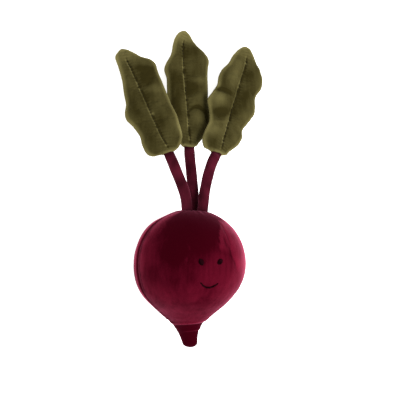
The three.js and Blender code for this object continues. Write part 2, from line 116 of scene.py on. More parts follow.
# Each stem runs from inside the crown to its leaf, and the leaf goes on along its own midrib.
# Leaf edges are pairs of (distance along the midrib, half width), from the base to the tip, and a leaf's
# skew slants its base, left and right of the midrib, by this part of the distance from the midrib.
# A hollow is its place (along, across), its size (along, across), its slant and its depth, on the front
# of the leaf. One of a depth below 0 is a lobe. A shading stroke is the same for the colour: one above 0 is
# lighter and one below 0 darker. Most are painted light and shade, on the lobes, in the hollows and where a
# leaf lies in another's shadow, and a few are small marks of the cloth.
LIMBS = {
    "left": {
        "stem": [(-5.5, 36, 46.3), (-5.8, 44.3, 46.6), (-8.4, 57.4, 45.3), (-13.2, 70.3, 42.3),
                 (-17.5, 81.5, 38.6), (-20.6, 90, 35)],
        "midrib": [(-19.6, 90, 35), (-26, 103, 29.8), (-38, 134, 17), (-47.6, 157, 8.6), (-54.4, 172, 3.4)],
        "bank": radians(-4),
        "skew": (0, -0.25),
        "ruffle_start": 0.4,
        "hollows": [(67, 9, 7, 7, 0, 0.8), (44, -12, 14, 6, 0, 0.3), (16, -10, 9, 5, 0, 0.3),
                    (55, 9, 3.5, 8, -0.3, -0.5), (19, 15, 8, 4, 0, -0.5), (35, 1.2, 1.2, 0.9, 0, -0.8)],
        "shading_strokes": [(85, 6, 5, 8, 0, 0.15), (74, 10, 2.5, 9, -0.37, -0.12), (67, 9, 7, 7, 0, -0.14),
                    (55, 9, 4, 9, -0.3, 0.12), (45, -11, 12, 6, 0, -0.08), (16, -10, 10, 5, 0, -0.1),
                    (28, 5, 10, 4, 0, -0.08), (14, 18, 9, 3, 0, 0.2), (35, 1, 1.2, 1, 0, 0.5),
                    (10, 8, 6, 6, 0, 0.06)],
        "left_edge": [(0, 8), (2, 13), (6, 17.2), (13, 17.8), (21, 15.9), (30, 17.8), (37, 21),
                      (43, 20.1), (51, 15.8), (60, 13.6), (72, 10.3), (84, 8.2), (92, 6.9), (96, 3.6)],
        "right_edge": [(0, 6.4), (4, 10.8), (9, 15.6), (16, 18.2), (27, 19.4), (37, 19), (48, 19.6),
                       (58, 19.8), (67, 20.1), (75, 21), (80, 18.2), (85, 12), (90, 8), (96, 3)],
    },
    "middle": {
        "stem": [(4.4, 36, 37.4), (4.2, 44.7, 37.2), (3.5, 57.9, 35.8), (2.3, 71.1, 33.4),
                 (1.8, 84.4, 29.2), (1.9, 94.6, 25.8)],
        "midrib": [(1.9, 95.6, 25.5), (2, 127, 15.6), (0.2, 160, 7.2), (-0.9, 182, 5), (0.6, 194, 3.5)],
        "bank": 0,
        "skew": (0, 0),
        "ruffle_start": 2.2,
        "hollows": [(26, 8, 6, 6, 0, -0.6), (35, 7, 1.6, 5, 0.1, 1.2), (32.6, 13, 1.6, 3, -0.6, 1.2),
                    (26, 16.5, 4.5, 1.6, 0, 1.0), (51, 8, 5, 8, 0, 0.5), (59, 10, 3, 9, 0, -0.4),
                    (33, -13, 10, 5, 0, 0.4)],
        "shading_strokes": [(49, -10, 22, 7, 0, -0.08), (33, -13, 10, 5, 0, -0.12), (59, 10, 2.5, 9, 0, 0.08),
                    (51, 8, 5, 8, 0, -0.06), (33, 3.5, 1.1, 2, 0.5, -0.25), (35, 8, 1.1, 3.2, 0, -0.3),
                    (32.6, 13, 1.2, 2.4, -0.6, -0.3), (26, 16.5, 4, 1.3, 0, -0.3), (26, 8, 6, 6, 0, 0.06),
                    (60, 4, 40, 16, 0, -0.03), (8, 6, 4, 8, 0, 0.12),
                    (42, 2.5, 0.8, 2.5, 0.5, 0.12), (97, 0, 6, 9, 0, 0.2)],
        "left_edge": [(0, 5.6), (2, 8), (6, 12.2), (12, 16.2), (20, 17.6), (30, 17.9), (40, 16.6),
                      (51, 15.6), (60, 15.4), (68, 16.6), (74, 14.4), (82, 9.7), (90, 8), (96, 6.2),
                      (101.6, 3)],
        "right_edge": [(0, 5.6), (3, 7.6), (9, 12.6), (19, 18.2), (31, 20.5), (45, 20), (60, 21.2),
                       (69, 22.4), (77, 23.4), (84, 19.8), (89, 15), (95, 8.8), (101.6, 3)],
    },
    "right": {
        "stem": [(7.9, 36, 46.4), (8.7, 45.1, 46.6), (9.7, 58.3, 45.3), (13.3, 71.8, 42.3),
                 (18.4, 84, 38.2), (23.6, 92, 34.6)],
        "midrib": [(25, 92, 34.4), (32, 107, 28), (44, 135, 16.6), (54.2, 160, 7.8), (59, 175, 4.8),
                   (58.2, 187.6, 3.6)],
        "bank": radians(4),
        "skew": (0.42, 0.1),
        "ruffle_start": 3.6,
        "hollows": [(47, -16, 6, 6, 0, -1.2), (55, -15, 2, 8, 0.15, 1.5), (36, -9, 4.5, 11, 0.5, 1.5),
                    (17, -13, 6, 6, 0, -0.8), (75, -9, 12, 5, 0, -0.4), (68, -12, 3, 6, 0.5, 0.4)],
        "shading_strokes": [(74, -9, 14, 6, 0, 0.16), (59, -21, 3, 2.5, 0, 0.25), (53, -20, 1.8, 4, 0.3, -0.25),
                    (56, -13, 1.8, 6, 0.1, -0.2), (47, -16, 5, 5, 0, 0.2), (36, -9, 4.2, 10, 0.5, -0.12),
                    (24.5, -11, 1, 6, 0.6, 0.1), (17, -14, 5, 5, 0, 0.14), (65, 8, 20, 5, 0, -0.08),
                    (31, 12, 8, 4, 0, 0.06), (31, -3.5, 10, 2, 0, 0.12), (10, -8, 8, 5, 0, -0.1),
                    (18, 4, 4, 2, 0, -0.1)],
        "left_edge": [(0, 8.4), (2, 13.4), (7, 16.8), (14, 17.4), (22, 17.2), (28, 18.8), (35, 21.2),
                      (42, 23.6), (50, 22), (59, 19.9), (67, 20.5), (76, 19), (84, 15.3), (93, 13.4),
                      (100, 10.8), (106, 4.6)],
        "right_edge": [(0, 6.4), (3, 7.8), (7, 9.4), (14, 13.4), (20, 15.6), (26, 16.9), (33, 15.7),
                       (40, 17.8), (52, 21.6), (59, 21.4), (68, 18.6), (78, 21.2), (86, 19.8),
                       (91, 15.2), (95, 9.6), (99, 6.6), (106, 3)],
    },
}


# ---- What a user would change ----

# Each velour has a dark and a light tone: the dark one is also its painted shade, the light one its painted
# light.
PILE_AND_SHADE = ("Pile", "Velour seen with its pile towards the eye")
BRUSHED_AND_LIT = ("Brushed pile", "Velour where the pile is brushed away from the eye")
SHEEN = ("Sheen", "Tint of the light that the pile scatters at a shallow angle")


def tint(name, description, hex_colour):
    """A colour."""
    return FloatVectorProperty(name=name, description=description, subtype="COLOR", size=4, min=0, max=1,
                               default=linear(hex_colour))


def measure(name, description, millimetres, smallest, largest):
    """A length with its limits, all in millimetres."""
    return FloatProperty(name=name, description=description, unit="LENGTH",
                         min=smallest * MM, max=largest * MM, default=millimetres * MM)


def brushed_share(part):
    """How brushed the pile of a piece is, from 0 to 1."""
    return FloatProperty(
        name="Brushed share", description="How much of the pile leans away from the eye",
        subtype="FACTOR", min=0, max=1, default=part)


class BulbSettings(bpy.types.PropertyGroup):
    """Sizes and colours of the stuffed bulb."""

    pile: tint(*PILE_AND_SHADE, 0x2E0109)
    brushed: tint(*BRUSHED_AND_LIT, 0x78152D)
    sheen: tint(*SHEEN, 0xE87A9A)
    share: brushed_share(0.18)
    seam_depth: measure("Seam depth", "How deep the side seams draw the cover in", 1.5, 0, 4)
    gathers: IntProperty(
        name="Gathers", description="Number of small pleats round the crown", min=0, max=40, default=17)


class StemSettings(bpy.types.PropertyGroup):
    """Colours of the three stems."""

    pile: tint(*PILE_AND_SHADE, 0x2F0B13)
    brushed: tint(*BRUSHED_AND_LIT, 0x5E1A2B)
    sheen: tint(*SHEEN, 0xB87488)
    share: brushed_share(0.23)


class LeafSettings(bpy.types.PropertyGroup):
    """Cloth values and colours of the three padded leaves."""

    pile: tint(*PILE_AND_SHADE, 0x2A250F)
    brushed: tint(*BRUSHED_AND_LIT, 0x7C7448)
    sheen: tint(*SHEEN, 0xC6BE88)
    share: brushed_share(0.1)
    thread: tint("Thread", "Sewing thread of the midribs", 0x221E0F)
    slack: FloatProperty(
        name="Slack", description="How much larger the cloth is cut than the space it fills",
        subtype="FACTOR", min=0, max=0.2, default=0.04)
    pressure: FloatProperty(
        name="Pressure", description="Push of the filling on the cloth in the simulation",
        min=0, max=50, default=6)


class FaceSettings(bpy.types.PropertyGroup):
    """Sizes and colour of the stitched face."""

    thread: tint("Thread", "Embroidery thread of the eyes and the smile", 0x1A0509)
    eye_width: measure("Eye width", "Width of a stitched eye", 4.3, 1, 10)
    eye_height: measure("Eye height", "Height of a stitched eye", 5.3, 1, 10)
    eye_threads: IntProperty(
        name="Threads of an eye", description="Number of satin stitches side by side in an eye",
        min=4, max=40, default=13)


class StudioSettings(bpy.types.PropertyGroup):
    """Light and floor of the studio."""

    floor: tint("Floor", "Colour of the paper floor", 0xF4F4F4)
    floor_glow: FloatProperty(
        name="Floor glow", description="Light from under the table, which keeps shadows faint",
        min=0, max=5, default=0.9)
    key_power: FloatProperty(
        name="Key light", description="Power of the large soft light on the right",
        unit="POWER", min=0, max=500, default=20)
    fill_power: FloatProperty(
        name="Fill light", description="Power of the soft light on the left",
        unit="POWER", min=0, max=500, default=9)
    sky: FloatProperty(
        name="Surroundings", description="Strength of the white light from all round",
        min=0, max=5, default=0.6)


# ---- Curves ----

def clamp(t):
    """t, but never below 0 or above 1."""
    return min(1.0, max(0.0, t))


def smooth(t):
    """A soft step from 0 to 1."""
    t = clamp(t)
    return t * t * (3 - 2 * t)


def rounded(t):
    """A quarter circle from 0 up to 1."""
    return sqrt(1 - (1 - clamp(t)) ** 2)


def bump(x, width):
    """A soft hill of height 1 at 0."""
    return exp(-((x / width) ** 2))


def between(x, start, full, fade, end):
    """1 from full to fade and 0 outside start and end, with soft steps."""
    return smooth((x - start) / (full - start)) * smooth((end - x) / (end - fade))


def along(pairs, x):
    """Value at x on a smooth line through (x, value) pairs."""
    last = len(pairs) - 1
    if x <= pairs[0][0]:
        return pairs[0][1]
    if x >= pairs[last][0]:
        return pairs[last][1]
    i = bisect_right(pairs, x, key=lambda pair: pair[0]) - 1

    def slope(k):
        before, after = pairs[max(k - 1, 0)], pairs[min(k + 1, last)]
        return (after[1] - before[1]) / (after[0] - before[0])

    span = pairs[i + 1][0] - pairs[i][0]
    t = (x - pairs[i][0]) / span
    return (pairs[i][1] * (1 + 2 * t) * (1 - t) ** 2 + slope(i) * span * t * (1 - t) ** 2
            + pairs[i + 1][1] * t * t * (3 - 2 * t) + slope(i + 1) * span * t * t * (t - 1))


class Course:
    """A smooth course through a few points, read by the distance along it."""

    STEPS = 24  # straight pieces between two of the points

    def __init__(self, points, bank=0):
        points = [Vector(point) for point in points]
        ends = [2 * points[0] - points[1], *points, 2 * points[-1] - points[-2]]
        self.bank = bank
        self.places = [points[0]]
        for p0, p1, p2, p3 in zip(ends, ends[1:], ends[2:], ends[3:]):
            d0, d1, d2 = (sqrt((b - a).length) for a, b in ((p0, p1), (p1, p2), (p2, p3)))
            leave = ((p1 - p0) / d0 - (p2 - p0) / (d0 + d1) + (p2 - p1) / d1) * d1
            arrive = ((p2 - p1) / d1 - (p3 - p1) / (d1 + d2) + (p3 - p2) / d2) * d1
            self.places += interpolate_bezier(p1, p1 + leave / 3, p2 - arrive / 3, p2, self.STEPS + 1)[1:]
        self.distances = [0.0]
        for a, b in zip(self.places, self.places[1:]):
            self.distances.append(self.distances[-1] + (b - a).length)
        self.length = self.distances[-1]
        last = len(self.places) - 1
        self.headings = [(self.places[min(i + 1, last)] - self.places[max(i - 1, 0)]).normalized()
                         for i in range(last + 1)]

    def at(self, distance):
        """The place at a distance, with its directions along, across to the right, and up."""
        inside = min(self.length, max(0.0, distance))
        i = min(bisect_right(self.distances, inside), len(self.places) - 1) - 1
        t = (inside - self.distances[i]) / (self.distances[i + 1] - self.distances[i])
        forward = self.headings[i].lerp(self.headings[i + 1], t).normalized()
        place = self.places[i].lerp(self.places[i + 1], t) + forward * (distance - inside)
        up = (Vector((0, 0, 1)) - forward * forward.z).normalized()
        right = forward.cross(up)
        if self.bank:
            turn = Matrix.Rotation(self.bank, 3, forward)
            up, right = turn @ up, turn @ right
        return place, forward, right, up


def midrib_course(limb):
    """The course of a leaf's midrib, from its base to its tip."""
    return Course(limb["midrib"], limb["bank"])


# ---- Pieces ----

def new_mesh(name, bm):
    """A mesh of a bmesh."""
    mesh = bpy.data.meshes.new(name)
    bm.to_mesh(mesh)
    return mesh


def add_object(name, data):
    """A new object in the scene."""
    made = bpy.data.objects.new(name, data)
    bpy.context.scene.collection.objects.link(made)
    return made


def finish_piece(name, bm, material, replaced):
    """A smooth-shaded object of a bmesh in millimetres, which rides on the toy's body."""
    bmesh.ops.transform(bm, matrix=Matrix.Scale(MM, 4), verts=bm.verts)
    for face in bm.faces:
        face.smooth = True
    piece = add_object(name, new_mesh(name, bm))
    bm.free()
    piece.data.materials.append(material)
    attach(piece, BODY)
    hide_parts(*replaced)
    return piece


def subdivide(piece):
    """Adds a live subdivision surface, alike in the viewport and the render."""
    modifier = piece.modifiers.new("Subdivision", "SUBSURF")
    modifier.levels = modifier.render_levels = 1


def tube(sides, rows, section):
    """A closed tube: section(t, angle) gives the point at a part t of its length."""
    bm = bmesh.new()
    bmesh.ops.create_cone(bm, cap_ends=True, segments=sides, radius1=1, radius2=1, depth=1)
    long_edges = [edge for edge in bm.edges if abs(edge.verts[0].co.z - edge.verts[1].co.z) > 0.5]
    bmesh.ops.subdivide_edges(bm, edges=long_edges, cuts=rows - 1)
    for vert in bm.verts:
        vert.co = section(vert.co.z + 0.5, atan2(vert.co.y, vert.co.x))
    bmesh.ops.recalc_face_normals(bm, faces=bm.faces)
    return bm


def join(parts):
    """One bmesh of several, which it uses up."""
    whole = bmesh.new()
    for part in parts:
        mesh = new_mesh("part", part)
        part.free()
        whole.from_mesh(mesh)
        bpy.data.meshes.remove(mesh)
    return whole


# ---- Materials ----

MIX_FACTOR, MIX_A, MIX_B, MIX_RESULT = 0, 6, 7, 2  # the sockets of a colour Mix node


def per(millimetres):
    """The texture scale, on Object coordinates in metres, that gives marks of this size."""
    return 1 / (millimetres * MM)


def add_node(tree, kind, settings, sockets):
    """Adds one node: settings are its own values, and a socket takes a value or another node's output."""
    made = tree.nodes.new(kind)
    for name, value in settings.items():
        setattr(made, name, value)
    for name, value in sockets.items():
        if isinstance(value, bpy.types.NodeSocket):
            tree.links.new(value, made.inputs[name])
        else:
            made.inputs[name].default_value = value
    return made


def new_material(name):
    """A material without a shader yet, its node tree, and the place on its piece."""
    material = bpy.data.materials.new(name)
    material.use_nodes = True
    tree = material.node_tree
    tree.nodes.clear()
    return material, tree, add_node(tree, "ShaderNodeTexCoord", {}, {}).outputs["Object"]


def velour(name, settings):
    """Polyester velour, knitted and sheared: a short dense pile, dark where it points at the eye, with a
    pale sheen where it leans away, in soft patches where a hand has brushed it. The mix of its dark and
    light tones also carries each piece's painted light and shade."""
    material, tree, place = new_material(name)
    patches = add_node(tree, "ShaderNodeTexNoise", {}, {
        "Vector": place, "Scale": per(26), "Detail": 2.0, "Roughness": 0.45, "Distortion": 0.5})
    along_pile = add_node(tree, "ShaderNodeMapping", {}, {
        "Vector": place, "Scale": (1, 0.15, 1)})
    streaks = add_node(tree, "ShaderNodeTexNoise", {}, {
        "Vector": along_pile.outputs[0], "Scale": per(3.5), "Detail": 2.0, "Distortion": 0.3})
    # The real pile is about 0.3 mm from tuft to tuft; it is drawn at 0.7 mm so that it shows.
    grain = add_node(tree, "ShaderNodeTexNoise", {}, {
        "Vector": place, "Scale": per(0.7), "Detail": 2.0, "Roughness": 0.6})
    # The attribute of each piece: its pile marks, and its painted light and shade.
    lean_and_shading = add_node(tree, "ShaderNodeAttribute", {"attribute_name": "lay_and_shading"}, {}).outputs["Fac"]
    # The part of each texture's range that counts, and what it adds, as a part of the brushed share.
    for texture, low, high, least, most, step in ((patches, 0.34, 0.66, 0.7, 1.3, "SMOOTHSTEP"),
                                                  (streaks, 0.3, 0.7, -0.3, 0.3, "LINEAR"),
                                                  (grain, 0.3, 0.7, -0.3, 0.3, "LINEAR")):
        share = add_node(tree, "ShaderNodeMapRange", {"interpolation_type": step}, {
            "Value": texture.outputs["Fac"], "From Min": low, "From Max": high,
            "To Min": least * settings.share, "To Max": most * settings.share})
        lean_and_shading = add_node(tree, "ShaderNodeMath", {"operation": "ADD", "use_clamp": texture is grain}, {
            0: lean_and_shading, 1: share.outputs[0]}).outputs[0]
    # The dark and the light tone, mixed by the pile marks and the painted light and shade.
    colour = add_node(tree, "ShaderNodeMix", {"data_type": "RGBA"}, {
        MIX_FACTOR: lean_and_shading, MIX_A: settings.pile, MIX_B: settings.brushed})
    tufts = add_node(tree, "ShaderNodeBump", {}, {
        "Height": grain.outputs["Fac"], "Strength": 0.5, "Distance": 0.16 * MM})
    clumps = add_node(tree, "ShaderNodeBump", {}, {
        "Height": streaks.outputs["Fac"], "Strength": 0.4, "Distance": 0.3 * MM,
        "Normal": tufts.outputs[0]})
    glow = add_node(tree, "ShaderNodeMapRange", {}, {
        "Value": lean_and_shading, "From Max": 0.5, "To Min": 0.25, "To Max": 1.0})
    shader = add_node(tree, "ShaderNodeBsdfPrincipled", {}, {
        "Base Color": colour.outputs[MIX_RESULT], "Roughness": 0.9, "Specular IOR Level": 0.0,
        "Sheen Weight": glow.outputs[0], "Sheen Roughness": 0.34, "Sheen Tint": settings.sheen,
        "Normal": clumps.outputs[0]})
    add_node(tree, "ShaderNodeOutputMaterial", {}, {"Surface": shader.outputs[0]})
    return material


def thread_material(name, colour, shine):
    """Sewing or embroidery thread, twisted from two plies: some stitches catch more light than others."""
    material, tree, place = new_material(name)
    # Real plies repeat about every 0.6 mm along the thread, too fine to show. Waves of this scale repeat
    # every 6.3 mm along X, Y or Z, so that one stitch is lighter than the next.
    plies = add_node(tree, "ShaderNodeTexWave", {"bands_direction": "DIAGONAL"}, {
        "Vector": place, "Scale": per(10), "Distortion": 1.5, "Detail": 2.0})
    shade = add_node(tree, "ShaderNodeMapRange", {}, {
        "Value": plies.outputs["Fac"], "To Min": 0.55, "To Max": 1.25})
    tone = add_node(tree, "ShaderNodeMix", {"data_type": "RGBA", "blend_type": "MULTIPLY"}, {
        MIX_FACTOR: 1.0, MIX_A: colour, MIX_B: shade.outputs[0]})
    relief = add_node(tree, "ShaderNodeBump", {}, {
        "Height": plies.outputs["Fac"], "Strength": 0.4, "Distance": 0.1 * MM})
    shader = add_node(tree, "ShaderNodeBsdfPrincipled", {}, {
        "Base Color": tone.outputs[MIX_RESULT], "Roughness": 0.5, "Specular IOR Level": shine,
        "Normal": relief.outputs[0]})
    add_node(tree, "ShaderNodeOutputMaterial", {}, {"Surface": shader.outputs[0]})
    return material


def polyester_fibre():
    """Blown polyester fibre filling: white, matt and fluffy, with soft lumps and painted shade in the gaps
    between.
    """
    material, tree, place = new_material("polyester_fibre")
    lumps = add_node(tree, "ShaderNodeTexNoise", {}, {
        "Vector": place, "Scale": per(5), "Detail": 6.0, "Roughness": 0.7, "Distortion": 1.2})
    colour = add_node(tree, "ShaderNodeMix", {"data_type": "RGBA"}, {
        MIX_FACTOR: lumps.outputs["Fac"], MIX_A: linear(0xCFCBC0), MIX_B: linear(0xF6F4EE)})
    relief = add_node(tree, "ShaderNodeBump", {}, {
        "Height": lumps.outputs["Fac"], "Strength": 0.8, "Distance": 1.0 * MM})
    shader = add_node(tree, "ShaderNodeBsdfPrincipled", {}, {
        "Base Color": colour.outputs[MIX_RESULT], "Roughness": 0.95, "Sheen Weight": 0.4,
        "Normal": relief.outputs[0]})
    add_node(tree, "ShaderNodeOutputMaterial", {}, {"Surface": shader.outputs[0]})
    return material


def matt_paper(settings):
    """Uncoated white paper: matt, with faint fibres, and lit through from under the table."""
    material, tree, place = new_material("matt_paper")
    fibres = add_node(tree, "ShaderNodeTexNoise", {}, {
        "Vector": place, "Scale": per(1.5), "Detail": 3.0})
    relief = add_node(tree, "ShaderNodeBump", {}, {
        "Height": fibres.outputs["Fac"], "Strength": 0.1, "Distance": 0.05 * MM})
    shader = add_node(tree, "ShaderNodeBsdfPrincipled", {}, {
        "Base Color": settings.floor, "Roughness": 0.95, "Specular IOR Level": 0.1,
        "Emission Color": settings.floor, "Emission Strength": settings.floor_glow,
        "Normal": relief.outputs[0]})
    add_node(tree, "ShaderNodeOutputMaterial", {}, {"Surface": shader.outputs[0]})
    return material


# ---- Bulb ----

BULB_COLUMNS = 168  # round the bulb
BELLY_STEP = radians(2.4)  # between two rows of points on the round belly
CONE_ROWS = 9
END_ROWS = 10  # on the rounded end of the tail
TAIL_ROW = 0.55  # between two rows along the tail
GATHER_HEIGHT = 0.2  # of the small pleats round the crown
CROWN_SUNK = 2.2  # the crown dips this far between the stems
NAP_LIGHT_AND_SHADE = 0.32  # by which way the cover faces, painted shade on the crown and painted light on the cone, with the pile brushed towards the tail
# Where the cover is slack: the place from the middle of the widest ring, the depth and the width.
SLACK_SPOTS = [(Vector((-20, 38.5, -8)), 1.6, 12.0), (Vector((-43, 10, -18)), 0.9, 18.0)]
DEEPEST = 1.65  # the relief stays clear of the filling
PAINTED_SHADE_BAND = (Vector((-14, 28, 36)), Vector((-28, -12, 36)))  # painted shade down the front left of the bulb
PAINTED_SHADE_WIDTH = 15.0
CHIN = Vector((-1, -24, 38))  # and painted shade on the chin, a little
CHIN_WIDTH = 18.0
PAINTED_SHADE_DEPTH, CHIN_SHADE = 0.24, 0.2  # how dark the painted shade is there
EYE_DENT, SMILE_DENT = 0.75, 0.16  # how far the stitches of the face draw the cover in
SEAM_FURROW = [(0.7, 1.3), (0.3, 4.5)]  # its sharp and its soft part: share of the depth, and width
PUCKER_PITCH = 4.2  # between two puckers of a side seam
PUCKER_HEIGHT = (0.12, 0.4)  # on the belly, and what it gains below
# Soft creases of the whole cover: their height, their size and where their pattern starts.
CREASING = [(0.55, 24, Vector((3.1, 0.7, 5.2))), (0.22, 9, Vector((7.7, 1.3, 2.9)))]
TUCK_TILT = 0.14  # the folds climb to the right
TUCK_LIP = (0.1, 0.35)  # height of a fold's edge at the back left, and what it gains at the front right
TUCK_DIP = (0.05, 0.2)  # the same for the dip next to it
TUCK_HIGHLIGHT_AND_SHADE = 0.35  # painted highlight on a fold's edge, and painted shade in the dip below it
FLOOR_SOFTNESS = 0.5  # how gently the cover rolls onto the surface that it lies on
# Lines on the bulb are (Y, degrees to the right of the middle of the face).
CREASE = [(-1.5, 31.9), (2.6, 30.4), (7.4, 25.5), (13.0, 24.7), (18.0, 25.6), (26.0, 26.2), (33.5, 28.0)]
CREASE_DEPTH = 0.7
SHORT_CREASE = [(14.4, 20.7), (21.4, 19.7)]
SHORT_CREASE_DEPTH = 0.4
BRUSH_EDGE = [(15.8, 10.1), (22.1, 12.3), (28.3, 17.1), (34.6, 29.0)]
CHEEK_TURN = 50  # a painted highlight runs down the right side, this many degrees from the face
CHEEK_WIDTH = 15
CHEEK_HIGHLIGHT = 0.32
# Painted light on the right flank, on the side of the key light.
RIGHT_FLANK_LIGHT = 0.56
# How the pile lies down the left flank, by Y, with the painted light and shade there.
LEFT_FLANK_SHADING = [(-32, -0.14), (-20, -0.22), (-7, -0.12), (2, 0.05), (12, 0.06), (34, 0.35)]
# A faint lighter streak down the face.
LIGHTER_STREAK = [(0.0, -27.5), (2.0, -27.0), (11.6, -22.8), (20.8, -29.0), (23.0, -30.0)]


def tail_radius(y):
    """Radius of the tail, which flares towards the cone and is rounded at its end."""
    past = max(0.0, (TAIL_ROUND_FROM - y) / (TAIL_ROUND_FROM - TAIL_END))
    flared = TAIL_THIN + TAIL_FLARE * exp((y - WAIST) / TAIL_FLARE_LENGTH)
    return flared * max(0.0, 1 - past ** TAIL_SQUARE) ** (1 / TAIL_SQUARE)


def bulb_profile():
    """The outline from the crown to the end of the tail, as (Y, radius)."""
    upper = round(pi / 2 / BELLY_STEP)
    lower = round(CONE_START / BELLY_STEP)
    points = [(CROWN * cos(i * pi / 2 / upper), RADIUS * sin(i * pi / 2 / upper))
              for i in range(upper + 1)]
    points += [(-RADIUS * sin(i * CONE_START / lower), RADIUS * cos(i * CONE_START / lower))
               for i in range(1, lower + 1)]
    cone_y, cone_radius = points[-1]
    for i in range(1, CONE_ROWS):
        t = i / CONE_ROWS
        points.append((cone_y + (WAIST - cone_y) * t,
                       cone_radius + (tail_radius(WAIST) - cone_radius) * t))
    y = WAIST
    while y > TAIL_ROUND_FROM:
        points.append((y, tail_radius(y)))
        y -= TAIL_ROW
    reach = TAIL_ROUND_FROM - TAIL_END
    for i in range(END_ROWS + 1):
        y = TAIL_ROUND_FROM - reach * sin(i * pi / 2 / END_ROWS)
        points.append((y, tail_radius(y)))
    return points


def tuck_relief(where, longitude):
    """Two sewn ring folds: each cover edge laps the next and drops off sharply towards the tail, with a
    painted highlight on the edge and painted shade below it. Returns the height, and the pile's light and
    shade."""
    towards = 0.5 + 0.5 * cos(longitude - TUCK_SIDE)
    height = lay_and_shading = 0.0
    for fold in TUCKS:
        away = where.y - fold - TUCK_TILT * where.x
        lip = bump(away, 2.2) if away > 0 else bump(away, 0.6)
        height += (TUCK_LIP[0] + TUCK_LIP[1] * towards) * lip
        height -= (TUCK_DIP[0] + TUCK_DIP[1] * towards) * bump(away + 1.3, 0.9)
        # Painted highlight on the fold's edge and painted shade below it.
        lay_and_shading += TUCK_HIGHLIGHT_AND_SHADE * (bump(away - 0.1, 0.5) - smooth(-away / 0.8))
    return height, lay_and_shading


def seam_relief(y, radius, longitude, seam_run, depth):
    """The furrows of the side seams and the puckers beside them, with painted shade in the furrows and
    painted light beside them. Returns the height, and the pile's light and shade.
    """
    turned = (longitude + pi / 2) % pi - pi / 2  # angle from the nearer side seam
    from_seam = abs(turned) * radius
    front = from_seam * copysign(1, sin(longitude))  # the same distance, below 0 behind the seam
    slim = smooth((radius - 5) / 14)
    tight = smooth((-6 - y) / 8)  # below the belly the seam puckers
    furrow = sum(share * bump(from_seam, width) for share, width in SEAM_FURROW)
    furrow *= smooth((y + 44) / 16)  # it runs out before the tail
    pull = cos(2 * pi * seam_run / PUCKER_PITCH + 2.5 * noise.noise(Vector((seam_run / 9, 0, 0))))
    pucker = (PUCKER_HEIGHT[0] + PUCKER_HEIGHT[1] * tight) * pull * bump(from_seam - 2.0, 2.2)
    ragged = 1 + 0.5 * noise.noise(Vector((seam_run / 5, 9, front)))
    # Painted light beside the seam on both sides and on the puckers below the belly, and painted shade
    # along its furrow.
    beside = 0.15 * bump(front - 8, 4.5) * (1 - tight) + 0.4 * tight * pull * bump(front - 1.5, 2)
    lay_and_shading = beside + 0.35 * bump(front + 5, 2.5) - 0.5 * bump(front - 1.5, 3.2 * ragged)
    return slim * (pucker - depth * furrow), slim * lay_and_shading


def line_relief(y, radius, face_turn):
    """The creases round the face, with painted shade in them and painted light on the flank past the long
    one, and the edges of the brushed pile. Returns the height, and the pile's light and shade.
    """
    def across(line):
        return (face_turn - radians(along(line, y))) * radius

    off = across(CREASE)
    strength = between(y, -6, 0, 32, 37) * (0.6 + 0.4 * bump(y - 4, 7))
    height = -CREASE_DEPTH * strength * bump(off, 1.4)
    # Painted shade in the crease, and painted light on the flank past it.
    lay_and_shading = strength * (0.35 * smooth(off / 2 + 0.5) * bump(off, 16) - 0.3 * bump(off + 0.2, 1.0))
    off = across(SHORT_CREASE)
    strength = between(y, 12, 15, 21, 24)
    height -= SHORT_CREASE_DEPTH * strength * bump(off, 1.2)
    # Painted shade in the short crease.
    lay_and_shading -= 0.25 * strength * bump(off + 0.3, 1)
    off = across(BRUSH_EDGE)
    lay_and_shading += 0.3 * smooth(off / 0.9 + 0.5) * bump(off, 13) * smooth((y - 10) / 6)
    # And a faint lighter streak down the face.
    return height, lay_and_shading + 0.15 * bump(across(LIGHTER_STREAK), 0.7) * between(y, 0, 4, 20, 24)


